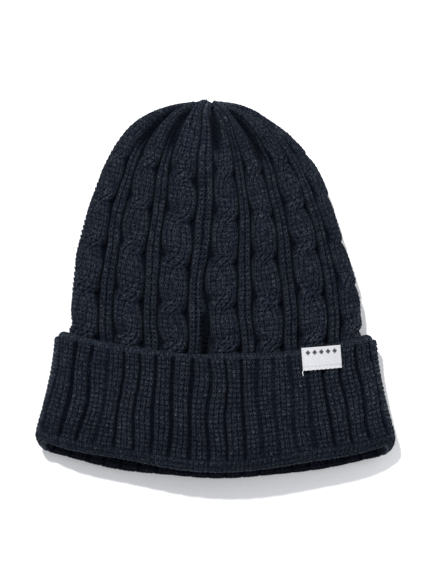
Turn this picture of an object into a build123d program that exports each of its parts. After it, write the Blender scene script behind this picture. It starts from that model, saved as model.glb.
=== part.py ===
from build123d import *
import math
import os

# Cable-knit beanie with a turned-up ribbed cuff, lying flat on its back.
#
# Millimetres. +Z up: the hat's thickness, and z = 0 is the surface that it lies on.
# +Y points to the crown and -Y out of the mouth. +X is across the hat.
# The origin is under the middle of the hat.
# Each soft piece is a tube with a flattened section, lofted along Y.

os.makedirs("parts", exist_ok=True)

# ---- Driving dimensions -------------------------------------------------------------
HAT_LENGTH = 239.0          # crown to mouth, cuff turned up
CROWN_Y = HAT_LENGTH / 2
MOUTH_Y = -HAT_LENGTH / 2
SECTION_POWER = 2.6         # 2 is an ellipse, more is nearer to a slab
SECTION_POINTS = 28
UNDERCUT = 2.5              # the skins dip this far below the surface before they are cut flat

BODY_HALF_WIDTH = 93.6      # where the body goes under the cuff
BODY_BASE_Y = -30.6         # the dome starts here
DOME_LENGTH = CROWN_Y - BODY_BASE_Y
DOME_START_POWER = 1.7      # how late the sides start to close in
DOME_END_POWER = 1 / 2.35   # how round the crown is at its tip
BODY_TOP = 32.0
BODY_WALL = 7.0
BODY_END_Y = -50.0          # hidden end of the cable knit, under the cuff
CROWN_ROUNDING = 24.0       # length over which front and back close at the crown
CROWN_START_Y = 62.0        # the cables end here and the plain crown starts
LEAN_AT_CUFF = 1.6
LEAN_TO_CROWN = -5.6
LEAN_POWER = 1.3
SQUEEZE_START_Y = BODY_BASE_Y + 14  # from here the cuff squeezes the body
SQUEEZE_LENGTH = 20.0
SQUEEZE_DROP = 1.5

CUFF_EDGE_HALF_WIDTH = 101.6
CUFF_FLARE = 12.1
CUFF_FLARE_POWER = 1.6
CUFF_EDGE_Y = -32.0
CUFF_FLARE_END_Y = -92.0
CUFF_TOP = 38.0
CUFF_WALL = 5.2
LAYER_GAP = 1.2             # between the cuff and the band behind it
BAND_WALL = 4.3
BAND_BLEND_LENGTH = 25.0
EDGE_DIP = 12.5             # the cuff's free edge is lower in the middle
EDGE_SLANT = 1.0            # and its left end is a little nearer to the crown
MOUTH_SAG = 23.0            # the mouth stands out in the middle
FOLD_LENGTH = 8.0

LABEL_WIDTH = 24.6
LABEL_DROP = 14.4           # folded height
LABEL_X = 66.4
LABEL_Y = -44.0
LABEL_TILT = 4.5
LABEL_THICKNESS = 1.0       # both layers
LABEL_CLEARANCE = 0.1
LABEL_HEM = 1.5             # from the label's lower edge up to its row of stitches
STITCH_COUNT = 7
STITCH_LENGTH = 2.0
STITCH_WIDTH = 0.45
STITCH_HEIGHT = 0.35
STITCH_CLEARANCE = 0.02

GATHER_HOLE_RADIUS = 5.0
GATHER_X = -2.5
GATHER_Z = 16.0
YARN_RADIUS = 0.9
YARN_CLEARANCE = 0.1
GATHER_DEPTH = 4.0          # the gathering yarn lies this far inside the crown
KNOT_RADIUS = 2.6
KNOT_DEPTH = 9.2            # the knot hangs this far inside the crown
SEAM_WIDTH = 3.6
SEAM_HEIGHT = 1.0
SEAM_CLEARANCE = 0.15
SEAM_END_Y = CROWN_Y - 30   # the body's seam fades out towards the crown
CUFF_SEAM_END_Y = CUFF_EDGE_Y - EDGE_DIP - 2
CUFF_SEAM_START_Y = MOUTH_Y + FOLD_LENGTH + 1
CARE_LABEL_WIDTH = 18.0
CARE_LABEL_LENGTH = 30.0
CARE_LABEL_Y = -8.0
CARE_LABEL_THICKNESS = 0.6
CARE_LABEL_HEM = 1.5
CARE_LABEL_STITCHES = 3

# ---- Stations and cutting lengths ---------------------------------------------------
BODY_STATIONS = [-0.08, -0.03, 0.05, 0.17, 0.32, 0.48, 0.62, 0.74, 0.84, 0.91, 0.955, 0.983]
CUFF_STATIONS = [-108.0, -94.0, -80.0, -66.0, -52.0, -38.0]
BAND_STATIONS = [-108.0, -94.0, -84.0, -75.0, -68.0, -62.0, -56.0]
FIRST_STATION = -0.13       # the body's ends, as fractions of the dome
LAST_STATION = 0.996
INNER_FIRST_STATION = -0.16
OVERRUN = 4.0               # a skin runs this far past the piece that is cut from it
CUT_HEIGHT = 60.0           # higher than the hat


# ---- Sections -----------------------------------------------------------------------
def body_section(fraction, grow):
    """Place and size of the body's section: fraction is 0 at the dome's base, 1 at the crown."""
    along = max(fraction, 0.0)
    y = BODY_BASE_Y + fraction * DOME_LENGTH + (grow * along)
    half_width = (BODY_HALF_WIDTH + grow) * (1 - along**DOME_START_POWER) ** DOME_END_POWER
    to_crown = (1 - along) * DOME_LENGTH / CROWN_ROUNDING
    closing = math.sqrt(1 - max(1 - to_crown, 0.0) ** 2)
    squeeze = min(max((SQUEEZE_START_Y - y) / SQUEEZE_LENGTH, 0.0), 1.0)
    low = -UNDERCUT + (CUFF_WALL + LAYER_GAP + UNDERCUT) * squeeze - grow
    high = BODY_TOP - SQUEEZE_DROP * squeeze + grow
    middle = (low + high) / 2
    half_height = (high - low) / 2 * closing
    centre = LEAN_AT_CUFF + LEAN_TO_CROWN * along**LEAN_POWER
    return y, centre, half_width, middle, half_height


def cuff_section(y, grow):
    """Place and size of the cuff's section at y."""
    flare = min(max((CUFF_EDGE_Y - y) / (CUFF_EDGE_Y - CUFF_FLARE_END_Y), 0.0), 1.0)
    half_width = CUFF_EDGE_HALF_WIDTH + CUFF_FLARE * flare**CUFF_FLARE_POWER + grow
    middle = (CUFF_TOP - UNDERCUT) / 2
    half_height = (CUFF_TOP + UNDERCUT) / 2 + grow
    return y, 0.0, half_width, middle, half_height


def band_section(y, grow):
    """The band's section: the body's at its upper end, and just inside the cuff's at the mouth."""
    blend = min(max((BODY_END_Y - y) / BAND_BLEND_LENGTH, 0.0), 1.0)
    blend = blend * blend * (3 - 2 * blend)
    upper = body_section((BODY_END_Y - BODY_BASE_Y) / DOME_LENGTH, grow)
    lower = cuff_section(y, grow - CUFF_WALL - LAYER_GAP)
    mixed = [a + (b - a) * blend for a, b in zip(upper, lower)]
    return (y, *mixed[1:])


def outline(section):
    """One flattened closed section, as a face across Y."""
    y, centre, half_width, middle, half_height = section
    points = []
    for step in range(SECTION_POINTS):
        angle = 2 * math.pi * step / SECTION_POINTS
        across = math.copysign(abs(math.cos(angle)) ** (2 / SECTION_POWER), math.cos(angle))
        up = math.copysign(abs(math.sin(angle)) ** (2 / SECTION_POWER), math.sin(angle))
        points.append((centre + half_width * across, middle + half_height * up))
    with BuildSketch(Plane.XZ.offset(-y)) as face:
        with BuildLine():
            Spline(*points, periodic=True)
        make_face()
    return face.sketch


def body_skin(grow, first=FIRST_STATION):
    """The sections of one skin of the body, from under the cuff to the crown."""
    return [outline(body_section(fraction, grow)) for fraction in [first, *BODY_STATIONS, LAST_STATION]]


def cuff_skin(grow, extra=0.0):
    """The sections of one skin of the cuff, longer than the cuff at both ends."""
    first = MOUTH_Y - OVERRUN - extra
    last = CUFF_EDGE_Y + 2 * OVERRUN + extra
    return [outline(cuff_section(y, grow)) for y in [first, *CUFF_STATIONS, last]]


def band_skin(grow, extra=0.0):
    """The sections of one skin of the band."""
    first = MOUTH_Y - OVERRUN - extra
    return [outline(band_section(y, grow)) for y in [first, *BAND_STATIONS, BODY_END_Y]]


# ---- Plan shapes --------------------------------------------------------------------
SIDE = CUFF_EDGE_HALF_WIDTH + CUFF_FLARE + OVERRUN


def cuff_plan(edge_shift=0.0, front=MOUTH_Y, back=None):
    """The cuff seen from above: its free edge, or a curve beside the mouth, and the mouth."""
    with BuildSketch() as plan:
        with BuildLine():
            mouth = ThreePointArc((-SIDE, front + MOUTH_SAG), (0, front), (SIDE, front + MOUTH_SAG))
            if back is None:
                edge_y = CUFF_EDGE_Y + edge_shift
                far = ThreePointArc((SIDE, edge_y - EDGE_SLANT), (0, edge_y - EDGE_DIP), (-SIDE, edge_y + EDGE_SLANT))
            else:
                far = ThreePointArc((SIDE, back + MOUTH_SAG), (0, back), (-SIDE, back + MOUTH_SAG))
            Line(mouth @ 1, far @ 0)
            Line(far @ 1, mouth @ 0)
        make_face()
    return plan.sketch


def label_plan():
    """The label's own plane seen from above, tilted on the cuff."""
    return Plane((LABEL_X, LABEL_Y, 0)).rotated((0, 0, LABEL_TILT))


# ---- Knitted fabric -----------------------------------------------------------------
def build_body_shell():
    """The whole body: a hollow flattened dome with a small hole at its gather."""
    with BuildPart() as shell:
        loft(sections=body_skin(0.0))
        loft(sections=body_skin(-BODY_WALL, first=INNER_FIRST_STATION), mode=Mode.SUBTRACT)
        split(bisect_by=Plane.XY, keep=Keep.TOP)
        with BuildSketch(Plane.XZ.offset(-(CROWN_Y - 20))):
            with Locations((GATHER_X, GATHER_Z)):
                Circle(GATHER_HOLE_RADIUS)
        extrude(amount=-40, mode=Mode.SUBTRACT)
    return shell


def build_body_zone(shell, keep):
    """One zone of the body, on one side of the row where the cables end."""
    with BuildPart() as zone:
        add(shell.part)
        split(bisect_by=Plane.XZ.offset(-CROWN_START_Y), keep=keep)
    return zone


def build_cuff():
    """The turned-up cuff, from its free edge down to where the fold begins."""
    with BuildPart() as cuff:
        loft(sections=cuff_skin(0.0))
        loft(sections=cuff_skin(-CUFF_WALL, extra=OVERRUN), mode=Mode.SUBTRACT)
        split(bisect_by=Plane.XY, keep=Keep.TOP)
        add(cuff_plan(front=MOUTH_Y + FOLD_LENGTH))
        extrude(amount=CUT_HEIGHT, mode=Mode.INTERSECT)
    return cuff


def build_fold():
    """The fold at the mouth, where the band turns up into the cuff."""
    inner = -(CUFF_WALL + LAYER_GAP + BAND_WALL)
    with BuildPart() as fold:
        loft(sections=cuff_skin(0.0))
        loft(sections=cuff_skin(inner, extra=OVERRUN), mode=Mode.SUBTRACT)
        split(bisect_by=Plane.XY, keep=Keep.TOP)
        add(cuff_plan(back=MOUTH_Y + FOLD_LENGTH))
        extrude(amount=CUT_HEIGHT, mode=Mode.INTERSECT)
    return fold


def build_band():
    """The ribbed band inside the cuff, from the fold up to the cable knit."""
    with BuildPart() as band:
        loft(sections=band_skin(0.0))
        loft(sections=band_skin(-BAND_WALL, extra=OVERRUN), mode=Mode.SUBTRACT)
        add(cuff_plan(front=MOUTH_Y + FOLD_LENGTH, edge_shift=CUT_HEIGHT))
        extrude(amount=CUT_HEIGHT, mode=Mode.INTERSECT)
    return band


# ---- Label --------------------------------------------------------------------------
def build_label():
    """The woven label: folded in two, lying on the cuff, with its fold towards the crown."""
    with BuildPart() as label:
        loft(sections=cuff_skin(LABEL_CLEARANCE + LABEL_THICKNESS))
        loft(sections=cuff_skin(LABEL_CLEARANCE, extra=OVERRUN), mode=Mode.SUBTRACT)
        with BuildSketch(label_plan()):
            Rectangle(LABEL_WIDTH, LABEL_DROP)
        extrude(amount=CUT_HEIGHT, mode=Mode.INTERSECT)
        split(bisect_by=Plane.XY.offset(CUFF_TOP / 2), keep=Keep.TOP)
    return label


def build_label_stitches():
    """A row of thread stitches along the label's lower edge."""
    low = LABEL_CLEARANCE + LABEL_THICKNESS + STITCH_CLEARANCE
    pitch = (LABEL_WIDTH - 2 * LABEL_HEM) / STITCH_COUNT
    with BuildPart() as stitches:
        loft(sections=cuff_skin(low + STITCH_HEIGHT))
        loft(sections=cuff_skin(low, extra=OVERRUN), mode=Mode.SUBTRACT)
        with BuildSketch(label_plan()):
            with Locations((0, -LABEL_DROP / 2 + LABEL_HEM)):
                with GridLocations(pitch, 1, STITCH_COUNT, 1):
                    Rectangle(STITCH_LENGTH, STITCH_WIDTH)
        extrude(amount=CUT_HEIGHT, mode=Mode.INTERSECT)
        split(bisect_by=Plane.XY.offset(CUFF_TOP / 2), keep=Keep.TOP)
    return stitches


# ---- Yarn inside --------------------------------------------------------------------
def build_gather_yarn():
    """The yarn drawn through the last stitches: a ring that lines the hole at the crown."""
    with BuildPart() as ring:
        with BuildSketch(Plane.XY.offset(GATHER_Z)):
            with Locations((GATHER_X + GATHER_HOLE_RADIUS - YARN_RADIUS - YARN_CLEARANCE, CROWN_Y - GATHER_DEPTH)):
                Circle(YARN_RADIUS)
        axis = Axis((GATHER_X, 0, GATHER_Z), (0, 1, 0))
        revolve(axis=axis, revolution_arc=360)
    return ring


def build_knot():
    """The knot of the gathering yarn, just inside the crown."""
    with BuildPart() as knot:
        with Locations((GATHER_X, CROWN_Y - KNOT_DEPTH, GATHER_Z)):
            Sphere(KNOT_RADIUS)
    return knot


def strip_plan(width, front, back, centre=0.0):
    """A plain strip along Y."""
    with BuildSketch() as plan:
        with Locations((centre, (front + back) / 2)):
            Rectangle(width, back - front)
    return plan.sketch


def build_body_seam():
    """The linking yarn down the centre back, on the inside of the body."""
    with BuildPart() as seam:
        loft(sections=body_skin(-BODY_WALL - SEAM_CLEARANCE))
        inner = -BODY_WALL - SEAM_CLEARANCE - SEAM_HEIGHT
        loft(sections=body_skin(inner, first=INNER_FIRST_STATION), mode=Mode.SUBTRACT)
        add(strip_plan(SEAM_WIDTH, BODY_END_Y, SEAM_END_Y, LEAN_AT_CUFF))
        extrude(amount=GATHER_Z, mode=Mode.INTERSECT)
    return seam


def build_cuff_seam():
    """The linking yarn down the centre back of the cuff, hidden between the cuff and the band."""
    with BuildPart() as seam:
        loft(sections=cuff_skin(-CUFF_WALL - YARN_CLEARANCE))
        inner = -CUFF_WALL - LAYER_GAP + YARN_CLEARANCE
        loft(sections=cuff_skin(inner, extra=OVERRUN), mode=Mode.SUBTRACT)
        add(strip_plan(SEAM_WIDTH, CUFF_SEAM_START_Y, CUFF_SEAM_END_Y))
        extrude(amount=CUFF_TOP / 2, mode=Mode.INTERSECT)
    return seam


def build_care_label():
    """A small blank tab on the inside of the back, with its end under the seam."""
    gap = BODY_WALL + LABEL_CLEARANCE
    with BuildPart() as tab:
        loft(sections=body_skin(-gap))
        loft(sections=body_skin(-gap - CARE_LABEL_THICKNESS, first=INNER_FIRST_STATION), mode=Mode.SUBTRACT)
        start = LEAN_AT_CUFF + SEAM_WIDTH / 2 + LABEL_CLEARANCE
        front = CARE_LABEL_Y - CARE_LABEL_WIDTH / 2
        add(strip_plan(CARE_LABEL_LENGTH, front, front + CARE_LABEL_WIDTH, start + CARE_LABEL_LENGTH / 2))
        extrude(amount=GATHER_Z, mode=Mode.INTERSECT)
    return tab


def build_care_label_stitches():
    """Three thread stitches that hold the tab beside the seam."""
    low = BODY_WALL + LABEL_CLEARANCE + CARE_LABEL_THICKNESS + STITCH_CLEARANCE
    start = LEAN_AT_CUFF + SEAM_WIDTH / 2 + CARE_LABEL_HEM
    pitch = CARE_LABEL_WIDTH / (CARE_LABEL_STITCHES + 1)
    with BuildPart() as stitches:
        loft(sections=body_skin(-low))
        loft(sections=body_skin(-low - STITCH_HEIGHT, first=INNER_FIRST_STATION), mode=Mode.SUBTRACT)
        with BuildSketch():
            with Locations((start, CARE_LABEL_Y)):
                with GridLocations(1, pitch, 1, CARE_LABEL_STITCHES):
                    Rectangle(STITCH_WIDTH, 2 * STITCH_LENGTH)
        extrude(amount=GATHER_Z, mode=Mode.INTERSECT)
    return stitches


# ---- Assembly -----------------------------------------------------------------------
body_shell = build_body_shell()
pieces = {
    "cable_body": build_body_zone(body_shell, Keep.TOP),
    "crown": build_body_zone(body_shell, Keep.BOTTOM),
    "inner_band": build_band(),
    "brim_fold": build_fold(),
    "turned_up_cuff": build_cuff(),
    "cuff_label": build_label(),
    "label_stitches": build_label_stitches(),
    "crown_gather_yarn": build_gather_yarn(),
    "gather_knot": build_knot(),
    "body_seam": build_body_seam(),
    "cuff_seam": build_cuff_seam(),
    "care_label": build_care_label(),
    "care_label_stitches": build_care_label_stitches(),
}
for name, piece in pieces.items():
    piece.part.label = name
    export_step(piece.part, f"parts/{name}.step")
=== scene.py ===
import math

import bpy
import numpy as np
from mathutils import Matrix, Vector
from mathutils.bvhtree import BVHTree


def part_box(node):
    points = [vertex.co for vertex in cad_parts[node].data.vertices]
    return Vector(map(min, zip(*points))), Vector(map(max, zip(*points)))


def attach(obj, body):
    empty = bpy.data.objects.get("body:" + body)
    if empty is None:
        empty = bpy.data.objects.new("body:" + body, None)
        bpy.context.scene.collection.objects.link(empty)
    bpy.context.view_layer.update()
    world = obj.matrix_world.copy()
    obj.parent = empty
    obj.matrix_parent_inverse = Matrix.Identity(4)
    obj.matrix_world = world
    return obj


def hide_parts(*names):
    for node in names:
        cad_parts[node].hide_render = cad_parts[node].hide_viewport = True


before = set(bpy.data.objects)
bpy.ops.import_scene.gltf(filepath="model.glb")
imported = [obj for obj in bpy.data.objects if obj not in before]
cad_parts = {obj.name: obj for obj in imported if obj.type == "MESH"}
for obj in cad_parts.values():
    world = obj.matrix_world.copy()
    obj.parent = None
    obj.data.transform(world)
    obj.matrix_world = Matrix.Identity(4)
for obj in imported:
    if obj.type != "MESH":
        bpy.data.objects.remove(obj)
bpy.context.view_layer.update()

# Looks of the cable-knit beanie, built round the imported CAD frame.
#
# Lengths in the shape code are millimetres, and MM turns them into Blender's metres.
# Each knitted piece is a grid of rings: columns run round the hat, rows run along it.
# A ring starts at the centre back (under the hat) and goes round by the +X side. Fractions
# of the way round are called u. Fractions of the way along, from the crown or the cuff's
# free edge, are called v or s, and stitches along the hat are counted in rows.
MM = 0.001


def node_box(node):
    """A CAD node's lowest and highest corners in millimetres."""
    low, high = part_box(node)
    return np.array(low) / MM, np.array(high) / MM


# ---- Sizes from the frame -----------------------------------------------------------
body_low, body_high = node_box("cable_body")
crown_high = node_box("crown")[1]
cuff_high = node_box("turned_up_cuff")[1]
fold_low, fold_high = node_box("brim_fold")

SECTION_POWER = 2.6         # 2 is an ellipse, more is nearer to a slab
SECTION_STEPS = 1601
BODY_HALF_WIDTH = (body_high[0] - body_low[0]) / 2
CROWN_Y = crown_high[1]
BODY_END_Y = body_low[1]
BODY_TOP = body_high[2]
BODY_BASE_Y = BODY_END_Y + 19.4  # the dome starts here
DOME_LENGTH = CROWN_Y - BODY_BASE_Y
DOME_START_POWER = 1.7      # how late the sides start to close in
LEFT_DOME = 0.345           # how full the dome is on each side; less is fuller
RIGHT_DOME = 0.45
CROWN_ROUNDING = 24.0       # length over which front and back close at the crown
GATHER_X = -3.0
UNDERCUT = 2.5              # the skins dip this far below the surface before they are pressed flat
SQUEEZE_START_Y = BODY_BASE_Y + 14  # from here the cuff squeezes the body
SQUEEZE_LENGTH = 20.0
SQUEEZE_DROP = 1.5

CUFF_TOP = cuff_high[2]
MOUTH_HALF_WIDTH = (fold_high[0] - fold_low[0]) / 2
CUFF_EDGE_HALF_WIDTH = MOUTH_HALF_WIDTH - 12.1
CUFF_FLARE = 14.5
CUFF_FLARE_POWER = 1.6
CUFF_EDGE_Y = -32.0
EDGE_DIP = 12.5             # the cuff's free edge is lower in the middle
EDGE_SLANT = 1.0            # and its left end is a little nearer to the crown
MOUTH_SLANT = 1.2
MOUTH_FRONT_Y = -114.5
FRONT_SAG = 18.0            # how much nearer to the crown the mouth is at its sides
FRONT_LIFT = 2.2            # the front's curve is flatter halfway to its sides
MOUTH_BACK_Y = -121.2       # the back of the mouth shows past the front
BACK_SAG = 16.7
CUFF_WALL = 5.2
LAYER_GAP = 1.2             # between the cuff and the band behind it
BAND_WALL = 4.3
CUFF_LENGTH = 64.0          # of knitting, from the free edge to the mouth

# ---- The knit -----------------------------------------------------------------------
REPEATS = 14                # one cable and one rib each
PATTERN_TURN = 0.0074       # turns the body's pattern, as a fraction of the way round
BODY_ROWS = 63
FIRST_CROSSING_ROW = 19.0
CROSSING_ROWS = 9.0
CABLE_HALF = 0.334          # of one repeat
CABLE_HEIGHT = 5.6
CABLE_WALES = 6
STRAND_WALES = 3
RIB_WALES = 2
RIB_HEIGHT = 4.3
GUTTER = 0.012              # of one repeat, on each side of a rib
FULL_PITCH = 28.0           # a repeat at least this wide has its full relief
CUFF_RIBS = 40
CUFF_RIB_HALF = 0.43        # of one rib's pitch
CUFF_RIB_HEIGHT = 3.4
CUFF_RIB_WALES = 3
EDGE_WALES = 4              # of the plain edge, to each rib
ROW_HEIGHT = 2.75
FUZZ = 0.11                 # how far the yarn's loose fibres roughen the stitches
PRESSED = 0.35              # share of the stitches' relief that is left in the hollows


def smooth(x, start, end):
    """A smooth step from 0 at start to 1 at end."""
    t = np.clip((x - start) / (end - start), 0.0, 1.0)
    return t * t * (3 - 2 * t)


WAVE_COUNT = 7


def waves(u, v, seed, size=1.0):
    """Gentle seeded waves, about -1 to 1, that close up round the hat."""
    draw = np.random.default_rng(seed)
    total = np.zeros(np.broadcast(u, v).shape)
    for _ in range(WAVE_COUNT):
        around = draw.integers(1, int(6 * size) + 2)
        along = draw.uniform(0.5, 3.5) * size
        phase = draw.uniform(0, 2 * math.pi, 2)
        total += np.sin(2 * math.pi * around * u + phase[0]) * np.cos(2 * math.pi * along * v + phase[1])
    return total / 3.0


def ring_points(half_width, half_height, u):
    """A flattened section, with the fractions u spaced evenly by length round it."""
    angle = np.linspace(-math.pi / 2, 1.5 * math.pi, SECTION_STEPS)
    power = 2 / SECTION_POWER
    x = half_width * np.sign(np.cos(angle)) * np.abs(np.cos(angle)) ** power
    z = half_height * np.sign(np.sin(angle)) * np.abs(np.sin(angle)) ** power
    length = np.concatenate([[0], np.cumsum(np.hypot(np.diff(x), np.diff(z)))])
    length /= length[-1]
    return np.interp(u, length, x), np.interp(u, length, z)


def normals(points):
    """Outward unit normals of a closed-round grid of points, rows first."""
    around = np.roll(points, -1, axis=1) - np.roll(points, 1, axis=1)
    along = np.gradient(points, axis=0)
    normal = np.cross(around, along)
    return normal / np.maximum(np.linalg.norm(normal, axis=2, keepdims=True), 1e-9)


# ---- Stitches -----------------------------------------------------------------------
LEG_FOOT = 0.055            # a V stitch's legs: where they start beside the wale's middle,
LEG_SLANT = 0.235           # how far they lean out in one row, how thick they are, as shares
LEG_HALF = 0.165            # of the wale's width, and how far they sink under the next row
LEG_SINK = 0.62
LEG_START, LEG_END = -0.15, 1.55
STITCH_FLOOR = -1.2
STITCH_RELIEF = 0.30        # of the wale's width


def knit_wale(across, row, width):
    """A column of V stitches: height in mm, and how open it is from 0, a hollow, to 1, a crest, which is used
    as painted shade.

    across is -0.5 to 0.5 over the column, row counts stitches, and width is the column's, in mm.
    """
    shape = np.broadcast(across, row).shape
    best = np.full(shape, STITCH_FLOOR)
    side = np.abs(across)
    part = row - np.floor(row)
    for step in (-1, 0, 1):
        along = part - step
        inside = (along > LEG_START) & (along < LEG_END)
        distance = (side - LEG_FOOT - LEG_SLANT * along) / LEG_HALF
        leg = np.sqrt(np.clip(1 - distance**2, 0, 1)) - LEG_SINK * along
        best = np.where(inside & (np.abs(distance) < 1), np.maximum(best, leg), best)
    # How open each point is to the light; this is painted into the colour as shade in the hollows.
    lightness_with_painted_shade = np.clip((best + 0.85) / 1.5, 0, 1)
    return best * STITCH_RELIEF * np.clip(width, 1.2, 4.2), lightness_with_painted_shade


def ridge(x, half, power=1.9):
    """A rounded ridge of height 1 with soft sides that reach 0 at plus and minus half."""
    return np.cos(0.5 * math.pi * np.clip(np.abs(x / half), 0, 1) ** power) ** 0.75


def split_wales(x, half, count):
    """Position across the nearest of count columns in a band from -half to half, and that column's number."""
    place = np.clip((x + half) / (2 * half) * count, 0, np.asarray(count) - 1e-6)
    return place % 1.0 - 0.5, np.floor(place).astype(int)


TONE_TABLE = (257, 263)     # two primes, so that the tones don't repeat in step with the knit
STITCH_TONES = np.random.default_rng(19).normal(1.0, 0.14, TONE_TABLE).clip(0.6, 1.45)


def stitch_tone(column, row):
    """How light each single stitch is, because the yarn is a blend of light and dark fibres."""
    return STITCH_TONES[column % TONE_TABLE[0], np.floor(row).astype(int) % TONE_TABLE[1]]


STRAND_HALF = 0.50          # of half the cable's width
STRAND_SWELL = 0.24         # how much wider a strand gets where it crosses over
STRAND_ROUNDING = 2.4
LUMP_ROUNDING = 3.2
SWING_ROWS = 1.9            # how quickly the strands change sides
CROSSING_LENGTH = 1.7       # in rows


def cable_strands(x, row, jitter):
    """A cable of two strands that cross every few rows.

    Returns the height from 0 to 1, the position within the nearer strand from -1 to 1, which
    strand that is, how deep the point lies in a notch beside a crossing, and how deep it lies
    in the seam between two crossing strands.
    """
    right = -x / CABLE_HALF
    turn = (FIRST_CROSSING_ROW + jitter - row) / CROSSING_ROWS
    number = np.round(turn)
    up = (turn - number) * CROSSING_ROWS
    swing = STRAND_HALF * np.tanh((up + 1.2 * right) / SWING_ROWS)
    near = np.exp(-(((up + 0.9 * right) / CROSSING_LENGTH) ** 2))
    half = STRAND_HALF + STRAND_SWELL * near
    front = (right - swing) / half
    back = (right + swing) / (half - 0.10 * near)
    front_height = ridge(front, 1.0, STRAND_ROUNDING) * (0.92 + 0.08 * near)
    back_height = ridge(back, 1.0, STRAND_ROUNDING) * (0.92 - 0.22 * near)
    over = front_height >= back_height
    height = np.maximum(front_height, back_height)
    # Between crossings the two strands lie side by side as one broad lump.
    lump = ridge(right, 1.02 - 0.20 * near, LUMP_ROUNDING)
    height = np.maximum(height, lump * (0.97 - 0.46 * near))
    place = np.where(over, front, back)
    strand = np.where(over == (number % 2 == 0), 0, 1)
    notch = near * smooth(np.abs(right), 0.50, 0.85)
    seam = np.exp(-(((front_height - back_height) / 0.14) ** 2)) * near * (height > 0.2)
    return height, np.clip(place, -1, 1), strand, notch, seam


GUTTER_LOW = -0.1           # mm, between a cable and a rib
NOTCH_DROP = 0.9            # mm, beside a crossing
PURL_WAVE = 0.4             # mm, the purl rows that show in a gutter
RIB_ROW_SHIFT = 0.4         # the ribs' stitches sit this many rows off the cables'


def calmed(profile, calm):
    """A profile that is levelled out where the crown's stitches close up."""
    return profile + (0.8 - profile) * 0.75 * calm


def stitched(profile, height, stitch):
    """Relief of a ridge of stitches: the profile's height, and stitches that are flatter in the hollows."""
    return profile * height + stitch * (PRESSED + (1 - PRESSED) * smooth(profile, 0.0, 0.5))


def body_relief(u, row, pitch):
    """Cable knit over its base: height in mm, and stitch tone with painted shade on sides, gutters and
    notches; pitch is the width of one repeat there.
    """
    place = REPEATS * (u + PATTERN_TURN)
    index = np.round(place).astype(int)
    x = place - index
    jitter = np.random.default_rng(3).uniform(-0.8, 0.8, REPEATS + 1)[index % REPEATS]
    narrow = np.clip(pitch / FULL_PITCH, 0.12, 1.0)

    calm = 0.85 * (1 - smooth(row, 5.0, 18.0))
    crossed = smooth(row, FIRST_CROSSING_ROW - 5, FIRST_CROSSING_ROW - 2)
    rope, strand_place, strand, notch, seam = cable_strands(x, row, jitter)
    plain = ridge(x, CABLE_HALF, 2.6)
    profile = calmed(plain + (rope - plain) * crossed, calm)
    wales = np.where(row > 15, CABLE_WALES, np.where(row > 8, 4, 2))
    flat_across, flat_number = split_wales(-x, CABLE_HALF, wales)
    rope_across, rope_number = split_wales(strand_place, 1.0, STRAND_WALES)
    twisted = crossed > 0.5
    across = np.where(twisted, rope_across, flat_across)
    number = np.where(twisted, rope_number + STRAND_WALES * strand, flat_number)
    stitch, lightness_with_painted_light = knit_wale(across, row, pitch * 2 * CABLE_HALF / wales)
    cable = stitched(profile, CABLE_HEIGHT, stitch)
    tone = stitch_tone(number + 8 * index, row)
    # Stitch tone, with painted shade on the cable's sides and in the notches and seams beside its crossings.
    cable_tone_and_painted_shade = lightness_with_painted_light * tone * (1 - 0.60 * (1 - calm) * (1 - smooth(profile, 0.0, 0.45)))
    cable_tone_and_painted_shade = cable_tone_and_painted_shade * (1 - crossed * (0.88 * notch + 0.42 * seam))

    rib_half = 0.5 - CABLE_HALF - GUTTER
    x_rib = np.where(x > 0, x - 0.5, x + 0.5)
    profile_rib = calmed(ridge(x_rib, rib_half, 2.6), calm)
    count = np.where(row > 7, RIB_WALES, 1)
    across, number = split_wales(x_rib, rib_half, count)
    stitch, lightness_with_painted_light = knit_wale(across, row + RIB_ROW_SHIFT, pitch * 2 * rib_half / count)
    groove = np.exp(-((x_rib * pitch / 0.7) ** 2)) * (row > 7)
    rib = stitched(profile_rib, RIB_HEIGHT, stitch) - 0.5 * groove
    tone = stitch_tone(number + 8 * (index + (x > 0)) + 131, row + RIB_ROW_SHIFT)
    # Stitch tone, with painted shade on the rib's sides and in its middle groove.
    rib_tone_and_painted_shade = lightness_with_painted_light * tone * (1 - 0.58 * (1 - calm) * (1 - smooth(profile_rib, 0.0, 0.45)))
    rib_tone_and_painted_shade = rib_tone_and_painted_shade * (1 - 0.25 * groove)

    in_cable = np.abs(x) < CABLE_HALF * 1.02
    in_rib = np.abs(x_rib) < rib_half
    in_notch = crossed * notch
    gutter = GUTTER_LOW - NOTCH_DROP * in_notch + PURL_WAVE * np.cos(2 * math.pi * row) + 2.6 * calm
    # Painted shade in the gutters: darkest in the notches, lighter at the crown.
    gutter_painted_shade = 0.36 * (1 - 0.97 * in_notch) + 0.20 * calm
    height = np.where(in_cable, np.maximum(cable, gutter), np.where(in_rib, np.maximum(rib, gutter), gutter))
    lightness_with_painted_shade = np.where(in_cable, cable_tone_and_painted_shade, np.where(in_rib, rib_tone_and_painted_shade, gutter_painted_shade))
    return height * (0.25 + 0.75 * narrow), lightness_with_painted_shade


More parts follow.
